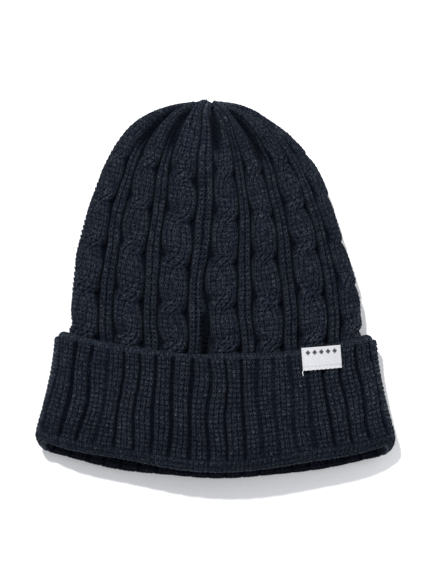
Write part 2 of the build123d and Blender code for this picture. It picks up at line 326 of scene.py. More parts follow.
def cuff_relief(u, row, pitch, fade):
    """Ribs over their base: height in mm, and stitch tone with painted shade in the hollows; fade is 1 where
    the ribs run out into a plain edge.
    """
    place = CUFF_RIBS * u
    index = np.round(place).astype(int)
    x = place - index
    draw = np.random.default_rng(29)
    widths = draw.uniform(-0.035, 0.025, CUFF_RIBS)[index % CUFF_RIBS]
    closed = draw.uniform(0.0, 1.0, CUFF_RIBS)[np.floor(place).astype(int) % CUFF_RIBS]
    half = CUFF_RIB_HALF + widths
    profile = ridge(x, half, 2.1)
    across, number = split_wales(x, half, CUFF_RIB_WALES)
    stitch, lightness_with_painted_light = knit_wale(across, row, pitch * CUFF_RIB_HALF * 0.8)
    rib = stitched(profile, CUFF_RIB_HEIGHT, stitch)
    shallow = closed**2.5
    valley = -0.4 + 2.2 * shallow + 0.35 * np.cos(2 * math.pi * row)
    height = np.where(np.abs(x) < half, np.maximum(rib, valley), valley)
    tone = stitch_tone(number + 5 * index, row)
    # Stitch tone, with painted shade on the ribs' sides and in the valleys between them.
    rib_tone_and_painted_shade = lightness_with_painted_light * tone * (0.2 + 0.8 * smooth(profile, 0.0, 0.8))
    rib_tone_and_painted_shade = np.where(np.abs(x) < half, rib_tone_and_painted_shade, 0.05 + 0.25 * shallow)
    across, number = split_wales(x, 0.5, EDGE_WALES)
    plain_stitch, plain_tone_and_painted_shade = knit_wale(across, row, pitch / EDGE_WALES)
    plain = CUFF_RIB_HEIGHT * 0.82 + plain_stitch
    plain_tone_and_painted_shade = plain_tone_and_painted_shade * stitch_tone(number + 7 * index, row)
    return height * (1 - fade) + plain * fade, rib_tone_and_painted_shade * (1 - fade) + plain_tone_and_painted_shade * fade


# ---- Base skins ---------------------------------------------------------------------
CROWN_FRACTION = 0.9985     # the body's ends, as fractions of the dome
HIDDEN_FRACTION = -0.135
SKIN_LINES = 260


def body_skin(u, rows, inset):
    """The body's skin, inset from its outer shape, as a grid whose rows follow the stitches."""
    fractions = np.linspace(CROWN_FRACTION, HIDDEN_FRACTION, SKIN_LINES)
    grid = np.zeros((len(fractions), len(u), 3))
    for line, part in enumerate(fractions):
        along = max(part, 0.0)
        taper = 1 - along**DOME_START_POWER
        grow = -inset * (0.3 + 0.7 * taper**0.42)
        y = BODY_BASE_Y + part * DOME_LENGTH + grow * along
        to_crown = (1 - along) * DOME_LENGTH / CROWN_ROUNDING
        closing = math.sqrt(1 - max(1 - to_crown, 0.0) ** 2)
        squeeze = min(max((SQUEEZE_START_Y - y) / SQUEEZE_LENGTH, 0.0), 1.0)
        low = -UNDERCUT + (CUFF_WALL + LAYER_GAP + UNDERCUT) * squeeze - grow
        high = BODY_TOP - SQUEEZE_DROP * squeeze + grow
        x, z = ring_points(BODY_HALF_WIDTH + grow, (high - low) / 2, u)
        across = np.where(x > 0, taper**RIGHT_DOME, taper**LEFT_DOME)
        grid[line, :, 0] = GATHER_X * along + x * across
        grid[line, :, 1] = y
        grid[line, :, 2] = (low + high) / 2 + z * closing
    step = np.linalg.norm(np.diff(grid, axis=0), axis=2)
    length = np.vstack([np.zeros(len(u)), np.cumsum(step, axis=0)])
    length /= length[-1]
    result = np.zeros((len(rows), len(u), 3))
    for column in range(len(u)):
        for axis in range(3):
            result[:, column, axis] = np.interp(rows, length[:, column], grid[:, column, axis])
    side = np.clip(result[:, :, 0] / BODY_HALF_WIDTH, -1, 1)
    result[:, :, 1] -= EDGE_DIP * 0.75 * smooth(rows, 0.3, 0.9)[:, None] * (1 - side**2)
    return result


def cuff_ring(u, s, grow, beyond=0.0):
    """One ring of the cuff: s is 0 at its free edge and 1 at the mouth."""
    half_width = CUFF_EDGE_HALF_WIDTH + CUFF_FLARE * np.clip(s, 0, 1) ** CUFF_FLARE_POWER + grow
    middle = (CUFF_TOP - UNDERCUT) / 2
    x, z = ring_points(half_width, (CUFF_TOP + UNDERCUT) / 2 + grow, u)
    side = np.clip(x / half_width, -1, 1)
    edge = CUFF_EDGE_Y - EDGE_DIP * (1 - side**2) - EDGE_SLANT * side
    back = smooth(-z, -6.0, 6.0)
    front_mouth = MOUTH_FRONT_Y + FRONT_SAG * side**2 + FRONT_LIFT * np.sin(math.pi * side) ** 2
    back_mouth = MOUTH_BACK_Y + BACK_SAG * side**2
    mouth = front_mouth + (back_mouth - front_mouth) * back - MOUTH_SLANT * side
    y = edge + (mouth - edge) * s - beyond
    return np.stack([x, y, middle + z], axis=1)


# ---- Meshes -------------------------------------------------------------------------
def mesh_object(name, points, quads, uv=None, shade=None):
    """A smooth mesh object from points in mm and four-cornered faces."""
    mesh = bpy.data.meshes.new(name)
    mesh.vertices.add(len(points))
    mesh.vertices.foreach_set("co", (points * MM).astype(np.float32).ravel())
    mesh.loops.add(quads.size)
    mesh.loops.foreach_set("vertex_index", quads.astype(np.int32).ravel())
    mesh.polygons.add(len(quads))
    mesh.polygons.foreach_set("loop_start", np.arange(0, quads.size, 4, dtype=np.int32))
    mesh.polygons.foreach_set("use_smooth", np.ones(len(quads), dtype=bool))
    if uv is not None:
        layer = mesh.uv_layers.new(name="OFBake")
        layer.data.foreach_set("uv", uv.astype(np.float32).ravel())
    if shade is not None:
        # The 'height' attribute is a colour value, not a height: on the knit it holds stitch tone with
        # painted shade and painted highlight, and on the label the woven marks.
        layer = mesh.attributes.new("height", "FLOAT", "POINT")
        layer.data.foreach_set("value", shade.astype(np.float32).ravel())
    mesh.update(calc_edges=True)
    mesh.validate()
    piece = bpy.data.objects.new(name, mesh)
    bpy.context.scene.collection.objects.link(piece)
    return piece


def closed_tube(name, rings, shades, strips):
    """A closed shell from rings that run round a profile and back to its start.

    strips gives each ring's place from 0 to 1 down the texture.
    """
    count, columns = rings.shape[:2]
    line = np.arange(count)[:, None]
    column = np.arange(columns)[None, :]
    after = (column + 1) % columns
    below = (line + 1) % count
    quads = np.stack(
        [line * columns + column, below * columns + column, below * columns + after, line * columns + after],
        axis=2,
    ).reshape(-1, 4)
    across = np.stack([column, column, column + 1, column + 1], axis=2) / columns
    across = np.broadcast_to(across, (count, columns, 4))
    top = strips[:, None, None]
    low = np.append(strips[1:], 1.0)[:, None, None]
    down = np.concatenate([top, low, low, top], axis=2)
    down = np.broadcast_to(down, (count, columns, 4))
    uv = np.stack([0.002 + 0.996 * across, 0.002 + 0.996 * down], axis=3).reshape(-1, 2)
    return mesh_object(name, rings.reshape(-1, 3), quads, uv, shades.reshape(-1))


# ---- Materials ----------------------------------------------------------------------
def new_material(name, colour, roughness, sheen=0.0, sheen_tint=(1, 1, 1, 1)):
    """A Principled material with its plain numbers set on the shader itself."""
    material = bpy.data.materials.new(name)
    material.use_nodes = True
    shader = material.node_tree.nodes["Principled BSDF"]
    shader.inputs["Base Color"].default_value = (*colour, 1)
    shader.inputs["Roughness"].default_value = roughness
    shader.inputs["Sheen Weight"].default_value = sheen
    shader.inputs["Sheen Roughness"].default_value = 0.45
    shader.inputs["Sheen Tint"].default_value = sheen_tint
    shader.inputs["Specular IOR Level"].default_value = 0.05
    return material, material.node_tree, shader


def noise(tree, scale, detail, coordinates, stretch=None):
    """A noise texture in object space."""
    node = tree.nodes.new("ShaderNodeTexNoise")
    node.inputs["Scale"].default_value = scale
    node.inputs["Detail"].default_value = detail
    if stretch:
        mapping = tree.nodes.new("ShaderNodeMapping")
        mapping.inputs["Scale"].default_value = stretch
        tree.links.new(coordinates, mapping.inputs["Vector"])
        coordinates = mapping.outputs["Vector"]
    tree.links.new(coordinates, node.inputs["Vector"])
    return node.outputs["Fac"]


def ramp(tree, source, stops):
    """A colour ramp over (place, colour) stops."""
    node = tree.nodes.new("ShaderNodeValToRGB")
    elements = node.color_ramp.elements
    while len(elements) < len(stops):
        elements.new(0.5)
    for element, (place, colour) in zip(elements, stops):
        element.position = place
        element.color = (*colour, 1)
    tree.links.new(source, node.inputs["Fac"])
    return node.outputs["Color"]


def mix(tree, kind, factor, first, second):
    """Mix two colours; factor is a number or a socket."""
    node = tree.nodes.new("ShaderNodeMix")
    node.data_type = "RGBA"
    node.blend_type = kind
    if isinstance(factor, float):
        node.inputs["Factor"].default_value = factor
    else:
        tree.links.new(factor, node.inputs["Factor"])
    tree.links.new(first, node.inputs["A"])
    tree.links.new(second, node.inputs["B"])
    return node.outputs["Result"]


def yarn_material():
    """Dark blue-grey fuzzy wool: flecks, and painted light from each point's lightness: lighter crests and
    edges, and painted shade in the hollows between stitches.
    """
    material, tree, shader = new_material(
        "dark_yarn", (0.016, 0.021, 0.028), 0.95, sheen=0.025, sheen_tint=(0.55, 0.68, 0.85, 1)
    )
    place = tree.nodes.new("ShaderNodeTexCoord").outputs["Object"]
    fleck = noise(tree, 900.0, 3.0, place)
    cloud = noise(tree, 60.0, 2.0, place)
    base = ramp(tree, fleck, [(0.34, (0.0037, 0.0056, 0.0128)), (0.53, (0.0110, 0.0149, 0.0220)),
                              (0.70, (0.043, 0.0460, 0.0495))])
    tone = ramp(tree, cloud, [(0.30, (0.78, 0.78, 0.80)), (0.70, (1.0, 1.0, 1.0))])
    colour = mix(tree, "MULTIPLY", 1.0, base, tone)
    # The 'height' attribute holds each point's painted lightness, not its height; the crest ramp turns it
    # into painted shade and painted highlight.
    height = tree.nodes.new("ShaderNodeAttribute")
    height.attribute_name = "height"
    crest = ramp(tree, height.outputs["Fac"], [(0.0, (0.10, 0.13, 0.22)), (0.2, (0.46, 0.50, 0.59)),
                                               (0.45, (1.0, 1.0, 1.0)), (1.0, (2.55, 2.50, 2.30))])
    colour = mix(tree, "MULTIPLY", 1.0, colour, crest)
    tree.links.new(colour, shader.inputs["Base Color"])
    fibres = noise(tree, 2600.0, 2.0, place)
    bump_node = tree.nodes.new("ShaderNodeBump")
    bump_node.inputs["Strength"].default_value = 0.55
    bump_node.inputs["Distance"].default_value = 0.0004
    tree.links.new(fibres, bump_node.inputs["Height"])
    tree.links.new(bump_node.outputs["Normal"], shader.inputs["Normal"])
    return material


def woven_material(name, light, dark, mark=None):
    """Smooth woven tape or thread with fine ribs across it, and woven marks where a piece has any."""
    material, tree, shader = new_material(name, light, 0.55, sheen=0.05)
    place = tree.nodes.new("ShaderNodeTexCoord").outputs["Object"]
    weft = noise(tree, 1400.0, 2.0, place, stretch=(0.35, 3.0, 1.0))
    warp = noise(tree, 1400.0, 2.0, place, stretch=(3.0, 0.35, 1.0))
    colour = mix(tree, "MULTIPLY", 1.0, ramp(tree, weft, [(0.3, dark), (0.7, light)]),
                 ramp(tree, warp, [(0.3, (0.86, 0.86, 0.87)), (0.7, (1, 1, 1))]))
    if mark:
        amount = tree.nodes.new("ShaderNodeAttribute")
        amount.attribute_name = "height"
        inked = ramp(tree, warp, [(0.3, mark), (0.7, tuple(2.2 * part for part in mark))])
        colour = mix(tree, "MIX", amount.outputs["Fac"], colour, inked)
    tree.links.new(colour, shader.inputs["Base Color"])
    bump_node = tree.nodes.new("ShaderNodeBump")
    bump_node.inputs["Strength"].default_value = 0.4
    bump_node.inputs["Distance"].default_value = 0.0002
    tree.links.new(weft, bump_node.inputs["Height"])
    tree.links.new(bump_node.outputs["Normal"], shader.inputs["Normal"])
    return material


YARN = yarn_material()
WHITE_TAPE = woven_material("white_tape", (0.515, 0.515, 0.535), (0.435, 0.435, 0.455),
                            mark=(0.03, 0.03, 0.035))
WHITE_THREAD = woven_material("white_thread", (0.78, 0.79, 0.80), (0.60, 0.61, 0.63))
SATIN_TAPE = woven_material("satin_tape", (0.70, 0.70, 0.69), (0.60, 0.60, 0.59))


# ---- Knitted pieces -----------------------------------------------------------------
BODY_COLUMNS = REPEATS * 72
CUFF_COLUMNS = CUFF_RIBS * 32
ROW_STEPS = 8
BASE_INSET = 5.0            # the body's base skin lies this far inside its outer shape
LINING = 2.4                # and the body's inner side this much further in
INNER_STEPS = 2             # rings to a row there
CUFF_INSET = CUFF_RIB_HEIGHT + 0.6
LIGHT_SCALE = 0.5           # lightness is stored at half scale, so that it stays below 1
OUTER_STRIP = 0.8           # the body's outer side takes this much of the texture
INNER_STRIP = 0.802
HOLLOW_COLUMN = 7.36        # left of the front's middle, where a rib and a cable part

# Folds and swells: column, half width in columns, first row, last row, softness in rows, and mm.
FOLDS = [
    (HOLLOW_COLUMN, 0.11, 24.0, 47.0, 6.0, 2.6),
    (7.34, 0.12, 48.0, 60.5, 3.0, 9.0),
    (6.90, 0.22, 0.5, 12.5, 4.0, 9.0),
    (5.30, 0.26, 3.0, 18.0, 4.0, 6.0),
    (8.60, 0.26, 2.0, 15.0, 4.0, 5.5),
    (9.70, 0.26, 2.0, 17.0, 5.0, 6.0),
    (3.70, 0.15, 30.0, 44.0, 5.0, 2.0),
    (9.66, 0.15, 36.0, 70.0, 6.0, 1.8),
]
SWELLS = [
    (6.80, 0.30, 5.0, 24.0, 5.0, 2.0),
    (7.62, 0.30, 8.0, 20.0, 5.0, 1.5),
    (6.95, 0.40, 42.0, 70.0, 6.0, 1.6),
    (8.00, 0.55, 0.0, 5.0, 3.0, 2.4),
    (6.00, 0.55, 0.0, 5.0, 3.0, 1.0),
]


def ridge_line(u, rows, column, half, start, end, soft):
    """1 on a line along a column, fading to its sides and towards both its ends."""
    place = REPEATS * (u + PATTERN_TURN) - column
    across = np.exp(-((place / half) ** 2))
    return across * smooth(rows, start - soft, start + soft) * (1 - smooth(rows, end - soft, end + soft))


def open_hollow(u, rows):
    """Shift of u that opens the gutter at the hollow's column just above the cuff."""
    place = REPEATS * (u + PATTERN_TURN) - HOLLOW_COLUMN
    shift = -0.075 * np.tanh(place / 0.10) * np.exp(-((place / 0.7) ** 2))
    return shift / REPEATS * smooth(rows, 39.0, 53.0)


def spread(u, rows):
    """Shift of u that widens the front's pattern, as the hat was pulled when it was laid down."""
    place = REPEATS * (u + PATTERN_TURN) - HOLLOW_COLUMN
    high = 1 - smooth(rows, 20.0, 45.0)
    shift = 0.01 + (0.06 + 0.17 * np.exp(-(((place + 0.5) / 0.8) ** 2))) * high
    shift = shift - 0.065 * place - 0.10 * np.tanh(place / 0.9)
    return shift / REPEATS * (1 - smooth(np.abs(place), 2.8, 4.6)) * smooth(rows, 0.0, 8.0)


def pitch_of(grid, count):
    """The width of one of count repeats at every point of a grid of rings."""
    closed = np.concatenate([grid, grid[:, :1]], axis=1)
    around = np.linalg.norm(np.diff(closed, axis=1), axis=2).sum(axis=1)
    return (around / count)[:, None] * np.ones(grid.shape[1])


def rest_on_surface(points, height, limit, low, rise, crest):
    """Press what is below limit towards the surface.

    Relief as high as crest comes to low, and hollows stay up to rise above that.
    """
    depth = points[:, :, 2]
    floor = low + rise * (1 - np.clip(height / crest, 0, 1))
    pressed = floor + (limit - floor) * np.exp((depth - limit) / limit)
    points[:, :, 2] = np.where(depth < limit, pressed, depth)


def build_body():
    """The cable-knit body from the gathered crown to its hidden end under the cuff."""
    u = np.arange(BODY_COLUMNS) / BODY_COLUMNS
    v = np.linspace(0, 1, BODY_ROWS * ROW_STEPS + 1)
    row = (v * BODY_ROWS)[:, None]
    uu = u[None, :]
    warp = 0.0030 * waves(uu, v[:, None], 11, 1.4) + 0.0007 * waves(uu, v[:, None], 12, 4.0)
    warp = warp * smooth(row, 0.0, 20.0) + open_hollow(uu, row) + spread(uu, row)
    skin = body_skin(u, v, BASE_INSET)
    normal = normals(skin)
    pitch = pitch_of(skin, REPEATS)

    # Macro shape: soft puffing, then the folds and the gathers at the crown.
    macro = 1.1 * waves(uu, v[:, None], 5) * smooth(row, 3, 12)
    sunk = np.zeros_like(macro)
    for column, half, start, end, soft, depth in FOLDS:
        sunk += depth * ridge_line(uu, row, column, half, start, end, soft)
    macro = macro - sunk
    for column, half, start, end, soft, rise in SWELLS:
        macro += rise * ridge_line(uu, row, column, half, start, end, soft)
    pleat = 0.5 + 0.5 * np.cos(2 * math.pi * (REPEATS * (uu + PATTERN_TURN) - 0.5))
    macro -= 2.2 * (1 - smooth(row, 2.0, 17.0)) * smooth(row, 0.0, 2.0) * pleat
    height, lightness_with_painted_light = body_relief(uu + warp, row + 0.5 * waves(uu, v[:, None], 23), pitch)
    # Painted shade in the folds and in the crown's creases.
    lightness_with_painted_light = 0.95 * lightness_with_painted_light * (1 - 0.96 * smooth(sunk, 0.8, 5.5))
    # Painted highlight along the sides and round the gather, where loose fibres catch the light.
    off_middle = np.abs(skin[:, :, 0] - GATHER_X * (1 - v[:, None]))
    beside = off_middle / np.abs(skin[:, :, 0]).max(axis=1, keepdims=True)
    lightness_with_painted_light = lightness_with_painted_light * (1 + 0.8 * smooth(beside, 0.96, 1.0) * smooth(row, 3, 8) + 0.9 * (1 - smooth(row, 0.0, 5.0)))
    fuzz = np.random.default_rng(43).normal(0, FUZZ, height.shape) * smooth(row, 1.0, 6.0)
    outer = skin + normal * (macro + height + fuzz)[:, :, None]
    rest_on_surface(outer, height, 3.0, 0.25, 0.35, 6.0)

    # The inner side, from the hidden end back to the crown, which the folds push in as well.
    back_rows = np.linspace(1, 0, BODY_ROWS * INNER_STEPS + 1)
    inner_skin = body_skin(u, back_rows, BASE_INSET + LINING)
    inside = 0.45 * np.cos(2 * math.pi * CUFF_RIBS * uu)
    inside = inside + 0.2 * np.cos(2 * math.pi * back_rows[:, None] * BODY_ROWS)
    pushed = 1.05 * np.minimum(macro[:: -ROW_STEPS // INNER_STEPS], 0)
    inner = inner_skin + normals(inner_skin[::-1])[::-1] * (inside + pushed)[:, :, None]
    rings = np.concatenate([outer, inner])
    shades = np.concatenate([lightness_with_painted_light, np.full(inner.shape[:2], 0.5)]) * LIGHT_SCALE
    strips = np.concatenate([np.linspace(0, OUTER_STRIP, len(outer)),
                             np.linspace(INNER_STRIP, 1, len(inner) + 1)[:-1]])
    piece = closed_tube("knit_body", rings, shades, strips)
    piece.data.materials.append(YARN)
    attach(piece, "root")
    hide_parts("cable_body", "crown")
    return piece


FOLD_START = 0.93           # of the cuff's length; the fold at the mouth takes the rest
BAND_END = 0.12             # where the band inside passes into the body
WELT_RADIUS = 1.9
FOLD_ROWS = 5.2
FOLD_REACH = 4.6            # beyond the end of the cuff's straight part
HIDDEN_RETURN = [           # the way back between the layers: s, and growth in mm
    (0.10, -CUFF_WALL - 1.4), (0.5, -CUFF_WALL - 1.0), (0.86, -CUFF_WALL - 0.8),
    (0.5, -CUFF_WALL - 0.4), (0.02, -CUFF_WALL - 0.3),
]


def cuff_profile(u):
    """The cuff's rings in order, from its free edge down, round the fold, up inside and back.

    With each come its row, how plain its knit is, its share of the relief and its lightness, which carries
    painted highlight and painted shade.
    """
    profile = []

    def add(row, fade, scale, light, s, grow, beyond=0.0):
        profile.append((cuff_ring(u, s, grow, beyond), row, float(fade), scale, float(light)))

    row_step = ROW_HEIGHT / ROW_STEPS / CUFF_LENGTH
    turn_radius = 0.85 * ((CUFF_WALL + LAYER_GAP + BAND_WALL) / 2 - CUFF_INSET / 2)
    # The free edge: a soft rolled welt that starts behind the cuff.
    for turn in np.linspace(-0.5, 1.0, 9):
        angle = turn * math.pi / 2
        drop = WELT_RADIUS * (1 - math.sin(max(angle, 0.0))) - min(turn, 0.0) * 1.5
        add(-0.8 + 0.8 * max(turn, 0), 1.0, 0.45, 1.0, 0.0, -CUFF_INSET - drop, beyond=-1.5 * math.cos(angle))
    for s in np.arange(row_step, FOLD_START, row_step):
        fade = 1 - smooth(s, -0.02, 0.03) + 0.85 * smooth(s, 0.89, 0.945)
        add(s * CUFF_LENGTH / ROW_HEIGHT, fade, 1.0, 1.0 - 0.14 * smooth(s, 0.6, 0.88), s, -CUFF_INSET)
    # The fold at the mouth, with a painted highlight along it, and painted shade behind it.
    last_row = profile[-1][1]
    for turn in np.linspace(0.0, 1.0, 26):
        angle = turn * math.pi
        light = 0.86 + 3.0 * math.exp(-(((turn - 0.42) / 0.07) ** 2)) - 0.58 * smooth(turn, 0.46, 0.60)
        fade = 0.85 * (1 - smooth(turn, 0.6, 1.0))
        grow = -CUFF_INSET - turn_radius * (1 - math.cos(angle))
        add(last_row + FOLD_ROWS * turn, fade, 1.0 - 0.50 * math.sin(angle), light,
            FOLD_START + 0.005, grow, beyond=FOLD_REACH * math.sin(angle))
    # The band inside, up to where the cable knit starts, in painted shade that is darkest near the fold.
    inner_grow = -CUFF_INSET - 2 * turn_radius
    for s in np.arange(FOLD_START, BAND_END, -row_step * 1.5):
        add(last_row + FOLD_ROWS + (FOLD_START - s) * CUFF_LENGTH / ROW_HEIGHT, 0.0, 0.8,
            0.28 + 0.3 * smooth(FOLD_START - s, 0.1, 0.4), s, inner_grow - 2.0 * smooth(0.5 - s, 0.0, 0.4))
    # And back between the two layers to the free edge.
    for s, grow in [(0.10, inner_grow)] + HIDDEN_RETURN:
        add(0.0, 1.0, 0.0, 0.5, s, grow)
    return [np.array(part) for part in zip(*profile)]


def build_cuff():
    """The turned-up cuff, its fold at the mouth and the band inside it, as one folded fabric."""
    u = np.arange(CUFF_COLUMNS) / CUFF_COLUMNS
    uu = u[None, :]
    grid, row, fade, scale, light = cuff_profile(u)
    row, fade, scale, light = row[:, None], fade[:, None], scale[:, None], light[:, None]
    v = np.linspace(0, 1, len(grid))[:, None]
    warp = 0.0042 * waves(uu, v * 0.45, 31, 1.6) + 0.0005 * waves(uu, v, 32, 4.5)
    rows = -(row + 0.5 * waves(uu, v, 37))
    height, lightness_with_painted_light = cuff_relief(uu + warp, rows, pitch_of(grid, CUFF_RIBS), fade * np.ones_like(uu))
    beside = np.abs(grid[:, :, 0]) / np.abs(grid[:, :, 0]).max(axis=1, keepdims=True)
    # Painted highlight along the cuff's sides, on top of the rings' painted light and shade.
    lightness_with_painted_light = 0.93 * lightness_with_painted_light * light * (1 + 0.6 * smooth(beside, 0.955, 1.0))
    macro = 0.8 * waves(uu, v * 0.7, 41) * (scale > 0)
    fuzz = np.random.default_rng(47).normal(0, FUZZ, height.shape) * (scale > 0.9)
    outer = grid + normals(grid) * (macro + height * scale + fuzz)[:, :, None]
    rest_on_surface(outer, height, 2.5, 0.15, 0.3, 4.0)
    piece = closed_tube("knit_cuff", outer, lightness_with_painted_light * LIGHT_SCALE, np.linspace(0, 1, len(grid) + 1)[:-1])
    piece.data.materials.append(YARN)
    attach(piece, "root")
    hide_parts("turned_up_cuff", "brim_fold", "inner_band")
    return piece


# ---- Label, threads and yarns -------------------------------------------------------
class Surface:
    """The top or underside of a built piece, which small pieces lie on."""

    def __init__(self, piece):
        mesh = piece.data
        self.tree = BVHTree.FromPolygons([vertex.co / MM for vertex in mesh.vertices],
                                         [tuple(face.vertices) for face in mesh.polygons])

    def hit(self, x, y, start, down=True):
        """Height of the first face met from height start, going down or up."""
        place = self.tree.ray_cast(Vector((x, y, start)), Vector((0, 0, -1 if down else 1)))[0]
        return start if place is None else place.z

    def crests(self, xs, ys, start, down=True):
        """A smooth sheet, curved only across, just over the crests of the surface at the given places."""
        heights = np.array([self.hit(x, y, start, down) for x, y in zip(xs, ys)])
        x_middle, y_middle = np.mean(xs), np.mean(ys)

        def terms(x, y):
            x, y = np.asarray(x) - x_middle, np.asarray(y) - y_middle
            return np.stack([np.ones_like(x), x, y, x * x, x * y], axis=-1)

        fit = np.linalg.lstsq(terms(xs, ys), heights, rcond=None)[0]
        over = heights - terms(xs, ys) @ fit
        rise = np.percentile(over, 94) if down else np.percentile(over, 10)
        return lambda x, y: terms(x, y) @ fit + rise


def sweep(paths, radius, sides=10, plies=0, turns=0.0, closed=False):
    """Tubes along paths of points in mm, as their points and faces; plies make a twisted yarn."""
    points, quads, first = [], [], 0
    for path in paths:
        path = np.asarray(path, dtype=float)
        ahead = np.roll(path, -1, axis=0) - np.roll(path, 1, axis=0) if closed else np.gradient(path, axis=0)
        ahead /= np.linalg.norm(ahead, axis=1, keepdims=True)
        side = np.cross(ahead[0], (0.31, 0.22, 0.92))
        frames = []
        for direction in ahead:
            side = side - direction * np.dot(side, direction)
            side /= np.linalg.norm(side)
            frames.append((side, np.cross(direction, side)))
        count = len(path)
        twist = np.linspace(0, 2 * math.pi * turns, count)
        angle = np.linspace(0, 2 * math.pi, sides, endpoint=False)
        for number, (across, up) in enumerate(frames):
            thick = radius * np.ones(sides)
            if plies:
                thick = radius * (0.72 + 0.28 * np.abs(np.cos(plies / 2 * (angle + twist[number]))))
            if not closed:
                thick = thick * min(1.0, 0.15 + 1.6 * math.sin(math.pi * number / (count - 1)))
            spoke = np.cos(angle)[:, None] * across + np.sin(angle)[:, None] * up
            points.append(path[number] + thick[:, None] * spoke)
        for number in range(count if closed else count - 1):
            after = (number + 1) % count
            for part in range(sides):
                beside = (part + 1) % sides
                quads.append([first + number * sides + part, first + number * sides + beside,
                              first + after * sides + beside, first + after * sides + part])
        if not closed:
            for end in (first, first + (count - 1) * sides):
                for part in range(1, sides - 1, 2):
                    quads.append([end, end + part, end + part + 1, end + (part + 2) % sides])
        first += count * sides
    return np.concatenate(points), np.array(quads)


def thread_piece(name, paths, radius, material, slot_name, node, **how):
    """A piece made of tubes, standing for one CAD node."""
    points, quads = sweep(paths, radius, **how)
    piece = mesh_object(name, points, quads, shade=np.full(len(points), 0.38))
    piece.data.materials.append(material)
    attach(piece, "root")
    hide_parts(node)
    return piece


def tape(name, place, spans, loop, mark=None):
    """A thin strip of cloth: loop gives its outer and inner sides as (along, height) pairs.

    place(across, along, height) puts a point of the strip on the hat.
    """
    outer, inner = loop
    points, shades = [], []
    for across in spans:
        for along, height in outer + inner:
            points.append(place(across, along, height))
            shades.append(mark(across, along, height) if mark else 0.0)
    ring = len(outer) + len(inner)
    last = (len(spans) - 1) * ring
    quads = []
    for first in range(0, last, ring):
        for part in range(ring):
            after = (part + 1) % ring
            quads.append([first + part, first + after, first + ring + after, first + ring + part])
    for end, flip in ((0, 1), (last, -1)):
        for part in range(len(outer) - 1):
            quads.append([end + part, end + ring - 1 - part, end + ring - 2 - part, end + part + 1][::flip])
    return mesh_object(name, np.array(points), np.array(quads), shade=np.array(shades))


def folded_loop(length, thickness, gap, steps=28):
    """A strip folded in two, its fold at 0 and both ends at length: its outer and inner sides."""
    radius = thickness + gap / 2
    along = np.linspace(length, radius, steps)
    turn = np.linspace(math.pi / 2, 1.5 * math.pi, 9)[1:-1]
    outer = [(a, 2 * radius) for a in along]
    outer += [(radius + radius * math.cos(t), radius + radius * math.sin(t)) for t in turn]
    outer += [(a, 0.0) for a in along[::-1]]
    inner = [(a, 2 * radius - thickness) for a in along]
    inner += [(radius + gap / 2 * math.cos(t), radius + gap / 2 * math.sin(t)) for t in turn]
    inner += [(a, thickness) for a in along[::-1]]
    return outer, inner[::-1]


LABEL_WIDTH = 24.6
LABEL_DROP = 14.3           # from its fold to its ends; the tape is twice as long
LABEL_TILT = math.radians(4.5)
LABEL_CENTRE = (66.4, -44.0)
LABEL_THICKNESS = 0.32
LABEL_STITCHES = 9
SEWN_AT = 12.8              # how far below the fold the stitches run
MARKS = 5                   # small diamonds woven into the label
MARK_STEP = 4.2
MARKS_AT = 3.3              # how far below the fold they lie
MARK_HALF = 1.75


def label_place(across, along):
    """Where a point of the label lies on the hat: across from its middle, along down from its fold."""
    up = LABEL_DROP / 2 - along
    return (LABEL_CENTRE[0] + across * math.cos(LABEL_TILT) - up * math.sin(LABEL_TILT),
            LABEL_CENTRE[1] + across * math.sin(LABEL_TILT) + up * math.cos(LABEL_TILT))


def build_label(cuff_top):
    """The white woven label, folded in two and sewn down along its lower edge, and its stitches."""
    spots = [label_place(a, b) for a in np.linspace(-12, 12, 25) for b in np.linspace(4, 14, 13)]
    sheet_under = cuff_top.crests([x for x, y in spots], [y for x, y in spots], 60.0)

    def lie(across, along, height):
        x, y = label_place(across, along)
        pressed = math.exp(-(((along - SEWN_AT) / 0.7) ** 2))
        free = 0.35 * math.exp(-along / 4.0)
        wavy = 0.22 * math.sin(1.9 * across + 0.6) * math.exp(-((along - LABEL_DROP) / 1.2) ** 2)
        lift = height * (1 - 0.55 * pressed) + 0.05 + free + wavy
        edge = 0.12 * math.sin(2.3 * across) * math.exp(-((along - LABEL_DROP) / 0.8) ** 2)
        return x, y - edge, float(sheet_under(x, y)) + lift

    def mark(across, along, height):
        number = across / MARK_STEP + (MARKS - 1) / 2
        if height < LABEL_THICKNESS * 1.5 or not -0.5 < number < MARKS - 0.5:
            return 0.0
        beside = abs(number - round(number)) * MARK_STEP
        return float(np.clip((MARK_HALF - beside - 0.95 * abs(along - MARKS_AT)) / 0.3, 0, 1))

    loop = folded_loop(LABEL_DROP, LABEL_THICKNESS, 0.10, 46)
    label = tape("folded_label", lie, np.linspace(-LABEL_WIDTH / 2, LABEL_WIDTH / 2, 101), loop, mark)
    label.data.materials.append(WHITE_TAPE)
    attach(label, "root")
    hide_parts("cuff_label")

    step = (LABEL_WIDTH - 2.0) / LABEL_STITCHES
    paths = []
    for number in range(LABEL_STITCHES):
        start = -LABEL_WIDTH / 2 + 1.3 + step * number
        spots = np.linspace(start, start + step * 0.72, 9)
        bow = np.sin(np.linspace(0, math.pi, 9))
        path = [lie(a, SEWN_AT, 2 * LABEL_THICKNESS + 0.1) for a in spots]
        paths.append([(x, y, z + 0.30 * b - 0.02) for (x, y, z), b in zip(path, bow)])
    x, y = label_place(-LABEL_WIDTH / 2 + 0.6, LABEL_DROP - 0.6)
    z = float(sheet_under(x, y)) + 0.7
    paths.append([(x - 1.1 * t - 0.5 * math.sin(5 * t), y - 4.2 * t, z + 0.5 * math.sin(4 * t))
                  for t in np.linspace(0, 1, 14)])
    thread_piece("label_thread", paths, 0.26, WHITE_THREAD, "sewing_thread", "label_stitches",
                 plies=2, turns=2.0)
    return label


def node_middle(node):
    """A CAD node's lowest corner, highest corner and middle."""
    low, high = node_box(node)
    return low, high, (low + high) / 2


